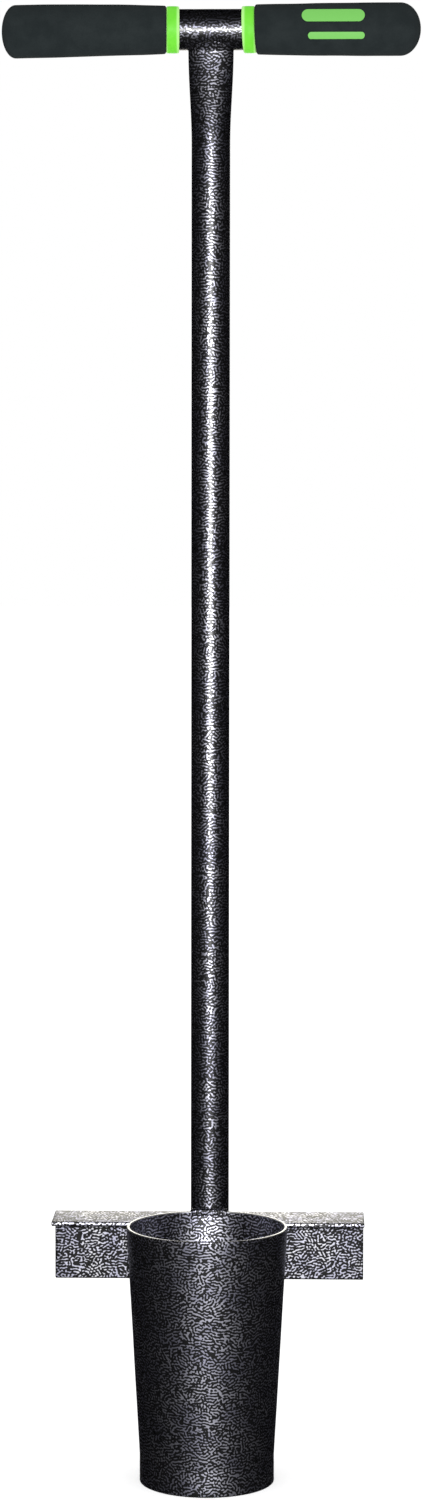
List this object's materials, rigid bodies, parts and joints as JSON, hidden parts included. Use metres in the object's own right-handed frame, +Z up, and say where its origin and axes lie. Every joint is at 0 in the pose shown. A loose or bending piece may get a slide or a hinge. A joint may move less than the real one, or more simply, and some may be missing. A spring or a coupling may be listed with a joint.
{
  "type": "bulb planter",
  "caption": "Long-handled bulb planter: T handle with foam grips, steel tube shaft, foot step and a tapered open cup that cuts a plug of soil.",
  "frame": {"origin": "centre of the cup's cutting edge, on the cup's axis", "axes": "+Z up along the cup's axis towards the handle, +X along the handle to the right grip, +Y from the cup to the shaft behind it"},
  "size_m": [0.2686, 0.1344, 0.94],
  "materials": {
    "hammered_steel": "hammered black and silver coat over steel",
    "foam": "matt closed-cell foam, dark green-grey",
    "green_rubber": "satin, bright green"
  },
  "bodies": {
    "root": {"crossbar": "hammered_steel", "grip_left": "foam", "grip_right": "foam", "collar_left": "green_rubber", "collar_right": "green_rubber", "shaft": "hammered_steel", "cup": "hammered_steel", "step_bar": "hammered_steel", "handle_weld": "hammered_steel", "rim_weld": "hammered_steel", "shaft_weld_left": "hammered_steel", "shaft_weld_right": "hammered_steel", "step_weld_left": "hammered_steel", "step_weld_right": "hammered_steel"}
  },
  "joints": []
}
